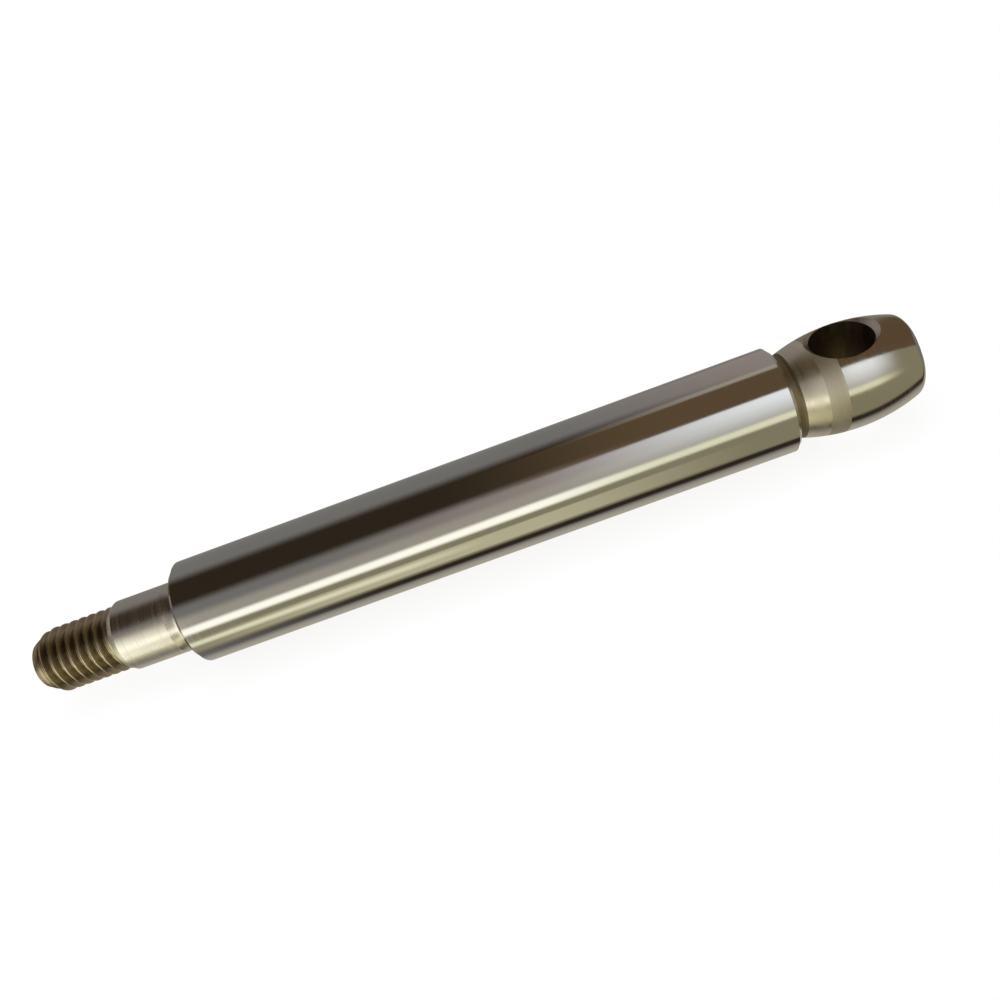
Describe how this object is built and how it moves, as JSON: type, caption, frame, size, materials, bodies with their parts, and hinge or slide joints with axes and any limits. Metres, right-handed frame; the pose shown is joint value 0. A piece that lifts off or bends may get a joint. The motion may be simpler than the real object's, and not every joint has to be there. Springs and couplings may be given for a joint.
{
  "type": "piston rod",
  "caption": "Chromed steel piston rod turned from one bar, with a threaded end, a stepped piston seat and a barrel-shaped eye with a cross hole.",
  "frame": {"origin": "middle of the cross hole in the eye, on the rod's axis", "axes": "+X along the rod's axis from the thread toward the eye's end, +Z along the cross hole"},
  "size_m": [0.1372, 0.016, 0.016],
  "materials": {
    "chromed_steel": "ground and chromed, with a satin turned neck"
  },
  "bodies": {
    "root": {"piston_rod": "chromed_steel"}
  },
  "joints": []
}
